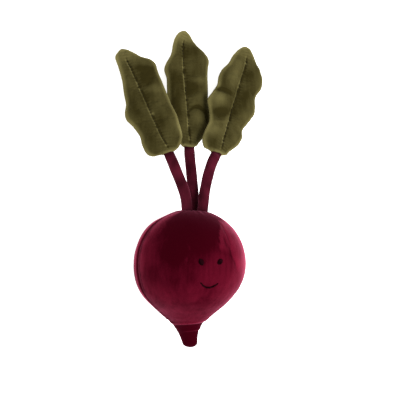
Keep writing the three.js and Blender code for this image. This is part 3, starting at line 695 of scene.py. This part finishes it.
def bulb_relief(y, radius, longitude, seam_run, settings):
    """How far the cover stands proud of its round form, and how its pile lies with its painted light and
    shade, from -1 to 1.
    """
    where = Vector((radius * cos(longitude), y, radius * sin(longitude)))
    face_turn = pi / 2 - longitude  # angle to the right of the middle of the face
    parts = [seam_relief(y, radius, longitude, seam_run, settings.seam_depth / MM),
             tuck_relief(where, longitude)]
    if -10 < y < 37 and sin(longitude) > 0:
        parts.append(line_relief(y, radius, face_turn))
    relief, lay_and_shading = (sum(values) for values in zip(*parts))

    if y > 0:
        gather = cos(settings.gathers * longitude + 1.5 * sin(3 * longitude))
        relief += GATHER_HEIGHT * gather * bump(radius - 13, 6) - CROWN_SUNK * bump(radius, 9)
    for height, apart, pattern in CREASING:
        relief += height * radius / RADIUS * noise.noise(where / apart + pattern)

    lay_and_shading += 0.1 * noise.noise(where / 19 + Vector((1.9, 8.4, 4.4)))
    # Painted shade down the front left of the bulb and on the chin.
    start, end = PAINTED_SHADE_BAND
    part = clamp((where - start).dot(end - start) / (end - start).length_squared)
    lay_and_shading -= PAINTED_SHADE_DEPTH * bump((where - start.lerp(end, part)).length, PAINTED_SHADE_WIDTH)
    lay_and_shading -= CHIN_SHADE * bump((where - CHIN).length, CHIN_WIDTH)
    # Painted light and shade down the flanks, and a painted highlight down the right cheek.
    left = smooth(0.5 - where.x / 20)
    flank_shading = smooth((abs(face_turn) - radians(40)) / radians(30))
    right_flank_light = RIGHT_FLANK_LIGHT * smooth((y + 8) / 14) + 0.06
    lay_and_shading += flank_shading * (left * along(LEFT_FLANK_SHADING, y) + (1 - left) * right_flank_light)
    cheek_highlight = bump(degrees(face_turn) - CHEEK_TURN, CHEEK_WIDTH)
    lay_and_shading += CHEEK_HIGHLIGHT * cheek_highlight * between(y, -20, -4, 24, 36)
    # Painted shade low on the cone and on top of the crown.
    lay_and_shading -= (0.08 + 0.1 * (1 - left)) * smooth((-24 - y) / 10) + 0.16 * (1 - flank_shading) * smooth((y - 34) / 6)
    slack = sum(depth * bump((where - spot).length, width) for spot, depth, width in SLACK_SPOTS)
    return max(relief, -DEEPEST) - slack, lay_and_shading


def face_dents(place):
    """The stitches of the face draw the cover in a little."""
    at_eyes = sum(bump((place - face_point(*eye)[0]).length, 4.2) for eye in EYES.values())
    at_smile = sum(bump((place - smile_point(step / 4)[0]).length, 2.2) for step in range(-4, 5))
    return EYE_DENT * at_eyes + SMILE_DENT * at_smile


def bulb_place(y, radius, longitude):
    """A point of the bulb, whose cone sags to the left and whose tail hooks to the right."""
    hooked = TAIL_HOOK * clamp((WAIST - y) / (WAIST - TAIL_ROUND_FROM)) ** 1.2
    bend = hooked + CONE_SAG * bump(y - CONE_SAG_AT, CONE_SAG_LENGTH)
    return Vector((bend + radius * cos(longitude), y, AXIS_HEIGHT + radius * sin(longitude)))


def face_point(longitude, y):
    """A place on the face and its directions to the right, up the face, and outwards."""
    radius = sqrt(RADIUS ** 2 - y ** 2)
    place = bulb_place(y, radius, pi / 2 - longitude)
    out = Vector((radius * sin(longitude), y, radius * cos(longitude))).normalized()
    up = (Vector((0, 1, 0)) - out * out.y).normalized()
    return place, up.cross(out), up, out


def smile_point(side):
    """A place on the smile, from -1 at its left end to 1 at its right, and the directions there."""
    y = SMILE_LOW + SMILE_RISE * side ** 2 + SMILE_TILT * side + SMILE_TWIST * side ** 3
    return face_point(SMILE_TURN + side * SMILE_LONGITUDE, y)


class BEETROOT_OT_bulb(bpy.types.Operator):
    """Spins the bulb's velour cover, with its seams, gathers, tail folds, brushed pile and painted light
    and shade
    """

    bl_idname = "beetroot.bulb"
    bl_label = "Bulb cover"

    def execute(self, context):
        settings = context.scene.beetroot_bulb
        profile = bulb_profile()
        runs = [0.0]
        for (y0, r0), (y1, r1) in zip(profile, profile[1:]):
            runs.append(runs[-1] + hypot(y1 - y0, r1 - r0))
        seam_runs = sorted((y, run) for (y, _), run in zip(profile, runs))

        bm = bmesh.new()
        verts = [bm.verts.new((radius, y, 0)) for y, radius in profile]
        edges = [bm.edges.new(pair) for pair in zip(verts, verts[1:])]
        bmesh.ops.spin(bm, geom=verts + edges, cent=(0, 0, 0), axis=(0, 1, 0), dvec=(0, 0, 0),
                       angle=2 * pi, steps=BULB_COLUMNS, use_merge=True, use_duplicate=False)
        bmesh.ops.remove_doubles(bm, verts=bm.verts, dist=1e-4)
        bmesh.ops.recalc_face_normals(bm, faces=bm.faces)
        bm.normal_update()
        lay_and_shading_layer = bm.verts.layers.float.new("lay_and_shading")
        for vert in bm.verts:
            y = vert.co.y
            radius = hypot(vert.co.x, vert.co.z)
            longitude = atan2(vert.co.z, vert.co.x)
            relief, lay_and_shading = bulb_relief(y, radius, longitude, along(seam_runs, y), settings)
            direction = vert.normal.copy()
            moved = vert.co + direction * relief
            place = bulb_place(moved.y, hypot(moved.x, moved.z), longitude)
            if direction.z > 0.6:  # the side with the face
                place -= direction * face_dents(place)
            place.z = (place.z + hypot(place.z, FLOOR_SOFTNESS)) / 2
            vert.co = place
            # Painted shade where the cover faces the crown's way, and painted light where it faces the
            # tail's way.
            vert[lay_and_shading_layer] = lay_and_shading - NAP_LIGHT_AND_SHADE * direction.y
        cover = finish_piece("bulb_velour_cover", bm, velour("velour_beetroot_red", settings),
                             ("bulb_front_panel", "bulb_back_panel"))
        subdivide(cover)
        return {"FINISHED"}


# ---- Stems ----

STEM_SIDES = 24
STEM_ROWS = 56
STEM_START = 2.0  # inside the crown
STEM_SEAM_DEPTH = 0.7
STEM_SEAM_WIDTH = 0.22  # radians
STEM_GATHERS = 9  # small pleats where the crown squeezes the stem
STEM_GATHER_HEIGHT = 0.18
STEM_LUMPS = [(0.28, 1.0), (0.1, 2.7)]  # of the filling: their height and how often they come
STEM_LUMP_LENGTH = 11.0


def stem_course(limb):
    """The course of a stem, from inside the crown to its end between the faces of its leaf."""
    sewn_in = midrib_course(limb).at(STEM_FLAT_END)[0]
    return Course([*limb["stem"], sewn_in])


class BEETROOT_OT_stems(bpy.types.Operator):
    """Sews the three stuffed stems, round at the crown and pressed flat where a leaf holds them"""

    bl_idname = "beetroot.stems"
    bl_label = "Stem covers"

    def execute(self, context):
        material = velour("velour_plum", context.scene.beetroot_stem)
        for number, (side, limb) in enumerate(LIMBS.items()):
            course = stem_course(limb)

            def section(t, angle):
                distance = STEM_START + (course.length - STEM_START) * t
                place, _, right, up = course.at(distance)
                flat = smooth((distance - (course.length - STEM_FLAT_END - STEM_TAPER)) / STEM_TAPER)
                grown = smooth(distance / STEM_SQUEEZE)
                wide = STEM_CROWN_RADIUS + (STEM_RADIUS - STEM_CROWN_RADIUS) * grown
                high = wide + (STEM_FLAT_HALF - wide) * flat
                around = Vector((cos(angle), sin(angle), distance / STEM_LUMP_LENGTH + 7 * number))
                lumps = sum(height * noise.noise(around * often) for height, often in STEM_LUMPS)
                seam = STEM_SEAM_DEPTH * bump(angle + pi / 2, STEM_SEAM_WIDTH)
                gather = STEM_GATHER_HEIGHT * cos(STEM_GATHERS * angle) * bump(distance - 9, 3.5)
                proud = (lumps - seam + gather) * (1 - 0.7 * flat)
                return (place + right * ((wide + proud) * cos(angle))
                        + up * ((high + proud) * sin(angle)))

            bm = tube(STEM_SIDES, STEM_ROWS, section)
            lay_and_shading_layer = bm.verts.layers.float.new("lay_and_shading")
            for vert in bm.verts:
                # Random tone, and painted shade where the stem goes in under its leaf.
                sewn_in = smooth(((vert.co - course.places[-1]).length - STEM_FLAT_END) / 5)
                vert[lay_and_shading_layer] = 0.4 * noise.noise(vert.co / 8 + Vector((number, 2, 5))) - 0.5 * (1 - sewn_in)
            cover = finish_piece(f"stem_{side}_velour_cover", bm, material,
                                 (f"stem_{side}_cover",))
            subdivide(cover)
        return {"FINISHED"}


# ---- Leaves ----

LEAF_GRID = (48, 132)  # cells across and along each face of a leaf
LEAF_CROWDING = 0.75  # how much closer they lie at the base and the tip
LEAF_FULL = 0.9  # the stuffed edge stands this far past the seam
LEAF_BASE_ROUND = 3.5  # length over which the base corners are rounded
LEAF_TIP_ROUND = 3.5
LEAF_OVER_STEM = 0.8  # from the stem end up to the face of the leaf
THINNEST = 0.05  # half thickness of the pad next to its seams
CLOTH_SCALE = 0.01  # the cloth is simulated at ten times its size, where the solver is at its best
CLOTH_FRAMES = 20
VELOUR_CLOTH = {"quality": 6, "mass": 0.3, "tension_stiffness": 12, "compression_stiffness": 12,
                "shear_stiffness": 4, "bending_stiffness": 0.3, "use_pressure": True}
LARGEST_SLIDE = 0.8  # of a point of the cloth within the plane of the leaf
LEAF_FULLNESS = 0.58  # part of the plain pad's height that the simulated cloth has at the least
RIB_HALF = 1.0  # half thickness that the midrib stitches hold the two faces to
RIB_STOP = 6.0  # the furrow ends this far from the tip
RIB_FADE = 5.0
RIM_WIDTH = 4.2  # a painted highlight along the turned edge, this wide
RIM_HIGHLIGHT = 0.46
TIP_LENGTH = 14.0  # the tip looks light too
TIP_LIGHTENING = 0.2
FLECK_LENGTH = 2.2  # of the dashes into which the painted highlight and shade along the midrib are broken
STITCH_SWELL = (0.25, 0.2)  # the faces rise this much between two stitches, and more next to the thread
HOLLOW_FADE = 0.15  # part of the half width over which the hollows fade out to the edge


def leaf_length(limb):
    """Length of a leaf along its midrib."""
    return limb["left_edge"][-1][0]


def seam_width(limb, s, w):
    """Half width of a leaf up to its edge seam, on the side that w lies on."""
    return along(limb["left_edge"] if w < 0 else limb["right_edge"], s)


def half_width(limb, s, w):
    """Half width of a leaf up to its stuffed edge, with its corners rounded."""
    width = seam_width(limb, s, w) + LEAF_FULL
    from_tip = leaf_length(limb) + LEAF_FULL - s
    return width * rounded((s + LEAF_FULL) / LEAF_BASE_ROUND) * rounded(from_tip / LEAF_TIP_ROUND)


def reach_out(limb, s, w):
    """How far out a place of a leaf lies, from 0 on the midrib to 1 at the edge."""
    return min(1.0, abs(w) / max(1e-6, half_width(limb, s, w)))


def from_end(limb, s):
    """Distance from the nearer end of a leaf."""
    return LEAF_FULL + min(s, leaf_length(limb) - s)


def rib_share(limb, s):
    """Whether the midrib is sewn here, from 0 to 1: it stops short of the tip."""
    return smooth((leaf_length(limb) - s - RIB_STOP) / RIB_FADE)


def stem_house(s, w):
    """Half thickness that the sewn-in stem end needs, fading away past it."""
    beside = 1 - smooth((abs(w) - STEM_RADIUS - LEAF_STEM_SHOULDER / 2) / LEAF_STEM_SHOULDER)
    past = smooth((s - STEM_FLAT_END) / (LEAF_STEM_HOUSE - STEM_FLAT_END))
    return (STEM_FLAT_HALF + LEAF_OVER_STEM) * beside * (1 - past)


def pad_height(limb, s, w):
    """Half thickness of a stuffed leaf before its cloth is simulated."""
    rise = rounded(from_end(limb, s) / LEAF_ROUND_END) * sqrt(1 - reach_out(limb, s, w) ** 4)
    furrow = bump(w, LEAF_GROOVE_WIDTH) * rib_share(limb, s)
    return rise * (LEAF_CREST - (LEAF_CREST - RIB_HALF) * furrow)


def leaf_place(limb, midrib, s, w, n):
    """A point of a leaf: s along the midrib, w across to the right, n up from the plane of its seam."""
    fade = max(0.0, 1 - s / LEAF_SKEW_LENGTH) ** 2
    place, _, right, up = midrib.at(s + limb["skew"][w > 0] * w * fade)
    reach = w / seam_width(limb, s, w)
    calm = 1 - smooth(s / leaf_length(limb))
    turn = s * 2 * pi / LEAF_RUFFLE_LENGTH + limb["ruffle_start"] + (w > 0) - (w < 0)
    wave = LEAF_RUFFLE * calm * reach ** 2 * sin(turn)
    return place + right * w + up * (n + wave * smooth(s / LEAF_ROUND_END))


def flat_pad(limb, height_share):
    """Both faces of a leaf, flat and joined along the edge seam, with a share of their full height."""
    bm = bmesh.new()
    bmesh.ops.create_grid(bm, x_segments=LEAF_GRID[0], y_segments=LEAF_GRID[1], size=1)
    length = leaf_length(limb)
    for vert in bm.verts:
        u, v = vert.co.x, vert.co.y
        t = (1 + v) / 2
        t -= LEAF_CROWDING * sin(2 * pi * t) / (2 * pi)
        s = (length + 2 * LEAF_FULL) * t - LEAF_FULL
        w = 0.0 if abs(u) < 1e-4 else u * (1.2 - 0.2 * u * u) * half_width(limb, s, u)
        n = 0.0
        if max(abs(u), abs(v)) < 1 - 1e-4:
            n = max(THINNEST, height_share * pad_height(limb, s, w))
            if w == 0.0:
                sewn = RIB_HALF * smooth(from_end(limb, s) / 3)
                n = max(THINNEST, n + (sewn - n) * rib_share(limb, s))
        vert.co = (w, s, n)
    bmesh.ops.remove_doubles(bm, verts=bm.verts, dist=1e-4)
    bmesh.ops.mirror(bm, geom=bm.verts[:] + bm.edges[:] + bm.faces[:], axis="Z", merge_dist=1e-3)
    bmesh.ops.recalc_face_normals(bm, faces=bm.faces)
    return bm


def inflate(bm, settings, rib_end):
    """Runs the filling's pressure on the flat pad, sewn fast along its edge and up its midrib."""
    scene = bpy.context.scene
    bmesh.ops.scale(bm, vec=Vector((1, 1, 1)) * CLOTH_SCALE, verts=bm.verts)
    mesh = new_mesh("cloth", bm)
    pad = add_object("cloth", mesh)
    sewn = pad.vertex_groups.new(name="sewn")
    near = 1e-3 * CLOTH_SCALE
    fast = [v.index for v in mesh.vertices
            if abs(v.co.z) < near or (abs(v.co.x) < near and v.co.y < rib_end * CLOTH_SCALE)]
    sewn.add(fast, 1, "REPLACE")
    cloth = pad.modifiers.new("Cloth", "CLOTH")
    fabric = {**VELOUR_CLOTH, "uniform_pressure_force": settings.pressure, "shrink_min": -settings.slack,
              "vertex_group_mass": sewn.name}
    for name, value in fabric.items():
        setattr(cloth.settings, name, value)
    cloth.settings.effector_weights.gravity = 0
    cloth.collision_settings.use_collision = False
    cloth.point_cache.frame_end = CLOTH_FRAMES
    for number in range(1, CLOTH_FRAMES + 1):
        scene.frame_set(number)
    result = pad.evaluated_get(bpy.context.evaluated_depsgraph_get())
    for vert, moved in zip(bm.verts, result.data.vertices):
        flat = vert.co / CLOTH_SCALE
        shift = moved.co / CLOTH_SCALE - flat
        slide = hypot(shift.x, shift.y)
        shift *= min(1.0, LARGEST_SLIDE / max(slide, 1e-6))
        height = max(0.02, (flat.z + shift.z) * copysign(1, flat.z)) if flat.z else 0.0
        vert.co = (flat.x + shift.x, flat.y + shift.y, copysign(height, flat.z))
    scene.frame_set(1)
    bpy.data.objects.remove(pad)
    bpy.data.meshes.remove(mesh)


def marks(rows, s, w):
    """The sum of hollows, or of the shading marks of painted light and shade, at a place of a leaf."""
    return sum(amount * bump(s - at - slant * (w - off), ahead) * bump(w - off, across)
               for at, off, ahead, across, slant, amount in rows)


def leaf_lay_and_shading(limb, s, w, facing):
    """How the pile of a leaf lies, with painted light and shade: a painted highlight along the rim and
    left of the rib, a lighter tip, painted shade in the rib's furrow, and the shading marks on its front.
    """
    length = leaf_length(limb)
    to_edge = min(half_width(limb, s, w) - abs(w), from_end(limb, s))
    # Painted highlight on the left wall of the rib's furrow and painted shade on its right, broken into
    # dashes.
    fleck = noise.noise(Vector((s / FLECK_LENGTH, 5, length)))
    furrow = (0.24 - 0.6 * fleck) * bump(w + 0.8, 0.6) - (0.28 + 0.75 * fleck) * bump(w - 0.3, 0.6)
    lay_and_shading = 0.12 * noise.noise(Vector((w, s, facing * 9)) / 14)
    # A painted highlight along the rim, and the tip lighter.
    lay_and_shading += RIM_HIGHLIGHT * (1 - smooth(to_edge / RIM_WIDTH)) + TIP_LIGHTENING * smooth((s - length + TIP_LENGTH) / 12)
    lay_and_shading += furrow * rib_share(limb, s) * smooth(s / 6)
    return lay_and_shading + (marks(limb["shading_strokes"], s, w) if facing > 0 else 0)


def leaf_bm(side, limb, settings):
    """The finished skin of a leaf, bent along its midrib."""
    midrib = midrib_course(limb)
    bm = flat_pad(limb, 0.6)
    inflate(bm, settings, leaf_length(limb) - RIB_STOP)
    tallest = max(vert.co.z for vert in bm.verts)
    print(side, "leaf simulated, half thickness", round(tallest, 2))
    for vert in bm.verts:
        vert.co.z *= LEAF_CREST / tallest
    lay_and_shading_layer = bm.verts.layers.float.new("lay_and_shading")
    for vert in bm.verts:
        w, s, n = vert.co
        facing = copysign(1, n)
        inside = smooth((1 - reach_out(limb, s, w)) / HOLLOW_FADE)
        lay_and_shading = leaf_lay_and_shading(limb, s, w, facing)
        if abs(n) > 1e-3:
            pull = cos(2 * pi * s / STITCH_PITCH + w / 2) * exp(-abs(w) / 3)
            # Painted highlight where the cloth rises between two stitches.
            lay_and_shading += 0.08 * pull
            swell = (STITCH_SWELL[0] + STITCH_SWELL[1] * bump(w, 1.6)) * smooth(abs(w)) * smooth(abs(n))
            height = abs(n) + swell * pull
            if facing > 0:
                sunk = marks(limb["hollows"], s, w)
                height -= sunk * inside
                # Painted shade in the hollows.
                lay_and_shading -= 0.1 * sunk
            height = max(height, LEAF_FULLNESS * pad_height(limb, s, w), stem_house(s, w) * inside)
            n = facing * height
        vert.co = leaf_place(limb, midrib, s, w, n)
        vert[lay_and_shading_layer] = lay_and_shading
    return bm


class BEETROOT_OT_leaves(bpy.types.Operator):
    """Cuts, sews and stuffs the three leaves, with their cloth simulated under the filling's pressure"""

    bl_idname = "beetroot.leaves"
    bl_label = "Leaf covers"

    def execute(self, context):
        settings = context.scene.beetroot_leaf
        material = velour("velour_leaf_green", settings)
        for side, limb in LIMBS.items():
            cover = finish_piece(f"leaf_{side}_velour_cover", leaf_bm(side, limb, settings), material,
                                 (f"leaf_{side}_front_panel", f"leaf_{side}_back_panel"))
            subdivide(cover)
        return {"FINISHED"}


# ---- Midrib stitches ----

STITCH_LENGTH = 1.9
STITCH_WIDTH = 0.75
STITCH_HEIGHT = 0.6
STITCH_LIFT = 0.05  # of its middle over the bottom of the furrow


def rib_height(s):
    """Half thickness of a leaf on its midrib."""
    return max(RIB_HALF, stem_house(s, 0))


class BEETROOT_OT_midribs(bpy.types.Operator):
    """Sews the running stitch along the midribs, on the front and the back of each leaf"""

    bl_idname = "beetroot.midribs"
    bl_label = "Midrib stitches"

    def execute(self, context):
        material = thread_material("polyester_sewing_thread", context.scene.beetroot_leaf.thread, 0.05)
        for side, limb in LIMBS.items():
            midrib = midrib_course(limb)
            count = round((leaf_length(limb) - STITCH_FROM - STITCH_TO) / STITCH_PITCH)
            for word, facing in (("front", 1), ("back", -1)):
                bm = bmesh.new()
                for number in range(count):
                    s = STITCH_FROM + (number + 0.5) * STITCH_PITCH
                    place, ahead = (leaf_place(limb, midrib, t, 0, facing * (rib_height(t) + STITCH_LIFT))
                                    for t in (s, s + 1))
                    forward = (ahead - place).normalized()
                    right = midrib.at(s)[2]
                    up = right.cross(forward)
                    sizes = Matrix((right * STITCH_WIDTH, up * STITCH_HEIGHT, forward * STITCH_LENGTH))
                    turned = Matrix.Translation(place) @ (sizes * 0.5).transposed().to_4x4()
                    bmesh.ops.create_uvsphere(bm, u_segments=8, v_segments=6, radius=1, matrix=turned)
                bmesh.ops.recalc_face_normals(bm, faces=bm.faces)
                finish_piece(f"leaf_{side}_{word}_midrib_stitches", bm, material,
                             (f"leaf_{side}_{word}_stitching",))
        return {"FINISHED"}


# ---- Face ----

EYE_PROUD = 0.75  # height of its arch in the middle
EYE_SUNK = 0.4  # the ends of its threads go this deep
EYE_THREAD_OVERLAP = 1.25  # its threads are this much thicker than they lie apart
EYE_THREAD_SLANT = 0.25  # they rise this far from the middle to the right end
EYE_LEAN = radians(38)  # the eyes lean towards each other at the bottom
THREAD_SIDES = 8
THREAD_ROWS = 10
SMILE_STITCHES = 11
SMILE_THREAD = 0.72  # radius in the middle
SMILE_PROUD = 0.3  # height of a stitch's arch
SMILE_SUNK = 0.35
SMILE_OVERLAP = 0.15  # part of a stitch that runs under the next one
SMILE_ASKEW = 0.12  # the ends of a stitch lie this far off the line, by turns up and down


class BEETROOT_OT_face(bpy.types.Operator):
    """Embroiders the two satin-stitched eyes and the backstitched smile"""

    bl_idname = "beetroot.face"
    bl_label = "Face"

    def execute(self, context):
        settings = context.scene.beetroot_face
        material = thread_material("rayon_embroidery_thread", settings.thread, 0.0)
        wide, high = settings.eye_width / MM / 2, settings.eye_height / MM / 2
        for side, eye in EYES.items():
            place, right, up, out = face_point(*eye)
            turn = Matrix.Rotation(copysign(EYE_LEAN, -eye[0]), 3, out)
            right, up = turn @ right, turn @ up
            threads = []
            for number in range(settings.eye_threads):
                level = (2 * (number + 0.5) / settings.eye_threads - 1) * high
                part = sqrt(1 - (level / high) ** 2)  # of the full width
                thick = high / settings.eye_threads * EYE_THREAD_OVERLAP

                def section(t, angle):
                    run = 2 * t - 1
                    arch = EYE_PROUD * part * (1 - run ** 4) - EYE_SUNK
                    taper = sqrt(max(0.05, 1 - run ** 6))
                    rise = level + EYE_THREAD_SLANT * run
                    centre = place + right * (run * wide * part) + up * rise + out * arch
                    return centre + (up * cos(angle) + out * sin(angle)) * (thick * taper)

                threads.append(tube(THREAD_SIDES, THREAD_ROWS, section))
            finish_piece(f"eye_{side}_satin_stitches", join(threads), material,
                         (f"eye_{side}",))

        threads = []
        for number in range(SMILE_STITCHES):
            first = 2 * (number - SMILE_OVERLAP) / SMILE_STITCHES - 1
            last = 2 * (number + 1 + SMILE_OVERLAP) / SMILE_STITCHES - 1

            def section(t, angle):
                side = first + (last - first) * t
                place, right, up, out = smile_point(side)
                slope = 2 * SMILE_RISE * side + SMILE_TILT + 3 * SMILE_TWIST * side ** 2
                slope /= SMILE_LONGITUDE * RADIUS
                across = (up - right * slope).normalized()
                run = 2 * t - 1
                taper = sqrt(max(0.04, 1 - run ** 6))
                arch = SMILE_PROUD * (1 - run ** 4) - SMILE_SUNK
                centre = place + out * arch + across * (SMILE_ASKEW * (-1) ** number * run)
                thick = SMILE_THREAD * taper * (1 - 0.4 * side ** 4)
                return centre + (across * cos(angle) + out * sin(angle)) * thick

            threads.append(tube(THREAD_SIDES, THREAD_ROWS, section))
        finish_piece("smile_backstitches", join(threads), material, ("smile",))
        return {"FINISHED"}


# ---- Filling ----

class BEETROOT_OT_filling(bpy.types.Operator):
    """Gives the filling inside the covers its fibre finish"""

    bl_idname = "beetroot.filling"
    bl_label = "Filling"

    def execute(self, context):
        material = polyester_fibre()
        for name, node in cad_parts.items():
            if name.endswith("_filling"):
                node.material_slots[0].material = material
        return {"FINISHED"}


# ---- Studio ----

VIEW_TILT = radians(23)  # the camera leans this far from straight above, to the left
VIEW_ROLL = radians(3.2)
VIEW_AIM = (5.41, 51.56, 46.7)  # the point that it looks at
VIEW_DISTANCE = 1100.0
VIEW_LENS = 120.0  # focal length
FLOOR_SIZE = 3.0  # metres from its middle to its edge
# The lights: how far each stands to the right, up the picture and towards the camera, as parts of its
# direction from the toy, then its distance and its size in metres.
KEY_LIGHT = ((0.95, -0.35, 0.7), 1.1, 0.9)
FILL_LIGHT = ((-1.0, 0.1, 0.8), 1.3, 1.2)


def camera_axes():
    """Directions to the right, up the picture, and from the toy to the camera."""
    back = Vector((-sin(VIEW_TILT), 0, cos(VIEW_TILT)))
    level = Vector((cos(VIEW_TILT), 0, sin(VIEW_TILT)))
    roll = Matrix.Rotation(VIEW_ROLL, 3, back)
    return roll @ level, roll @ Vector((0, 1, 0)), back


def add_softbox(name, placing, power):
    """A large square light that looks at the toy."""
    (rightward, upward, outward), distance, size = placing
    right, up, back = camera_axes()
    direction = right * rightward + back * outward + up * upward
    data = bpy.data.lights.new(name, "AREA")
    data.size = size
    data.energy = power
    light = add_object(name, data)
    light.location = Vector(VIEW_AIM) * MM + direction.normalized() * distance
    light.rotation_euler = direction.to_track_quat("Z", "Y").to_euler()


class BEETROOT_OT_studio(bpy.types.Operator):
    """Lays the paper floor, and sets the soft lights and the camera"""

    bl_idname = "beetroot.studio"
    bl_label = "Studio"

    def execute(self, context):
        scene = context.scene
        settings = scene.beetroot_studio
        bm = bmesh.new()
        bmesh.ops.create_grid(bm, x_segments=1, y_segments=1, size=FLOOR_SIZE)
        floor = add_object("paper_floor", new_mesh("paper_floor", bm))
        bm.free()
        floor.data.materials.append(matt_paper(settings))

        add_softbox("key", KEY_LIGHT, settings.key_power)
        add_softbox("fill", FILL_LIGHT, settings.fill_power)

        world = bpy.data.worlds.new("white_room")
        world.use_nodes = True
        sky = world.node_tree.nodes["Background"]
        sky.inputs["Color"].default_value = linear(0xFFFFFF)
        sky.inputs["Strength"].default_value = settings.sky
        scene.world = world
        scene.view_settings.view_transform = "Standard"

        data = bpy.data.cameras.new("camera")
        data.lens = VIEW_LENS
        camera = add_object("camera", data)
        axes = camera_axes()
        place = (Vector(VIEW_AIM) + axes[2] * VIEW_DISTANCE) * MM
        camera.matrix_world = Matrix.Translation(place) @ Matrix(axes).transposed().to_4x4()
        scene.camera = camera
        return {"FINISHED"}


# ---- Panel ----

OPERATORS = (BEETROOT_OT_bulb, BEETROOT_OT_stems, BEETROOT_OT_leaves, BEETROOT_OT_midribs,
             BEETROOT_OT_face, BEETROOT_OT_filling, BEETROOT_OT_studio)
SETTINGS = {"beetroot_bulb": BulbSettings, "beetroot_stem": StemSettings, "beetroot_leaf": LeafSettings,
            "beetroot_face": FaceSettings, "beetroot_studio": StudioSettings}


class BEETROOT_PT_panel(bpy.types.Panel):
    """Lists the steps that make the toy"""

    bl_label = "Beetroot soft toy"
    bl_idname = "BEETROOT_PT_panel"
    bl_space_type = "VIEW_3D"
    bl_region_type = "UI"
    bl_category = "Beetroot"

    def draw(self, context):
        for operator in OPERATORS:
            self.layout.operator(operator.bl_idname)
        for name in SETTINGS:
            box = self.layout.box()
            group = getattr(context.scene, name)
            for value in group.__annotations__:
                box.prop(group, value)


def register():
    for group in (*SETTINGS.values(), *OPERATORS, BEETROOT_PT_panel):
        bpy.utils.register_class(group)
    for name, group in SETTINGS.items():
        setattr(bpy.types.Scene, name, PointerProperty(type=group))


def unregister():
    for name in SETTINGS:
        delattr(bpy.types.Scene, name)
    for group in (BEETROOT_PT_panel, *reversed(OPERATORS), *reversed(SETTINGS.values())):
        bpy.utils.unregister_class(group)


def main():
    register()
    bpy.ops.beetroot.bulb()
    bpy.ops.beetroot.stems()
    bpy.ops.beetroot.leaves()
    bpy.ops.beetroot.midribs()
    bpy.ops.beetroot.face()
    bpy.ops.beetroot.filling()
    bpy.ops.beetroot.studio()


if __name__ == "__main__":
    main()
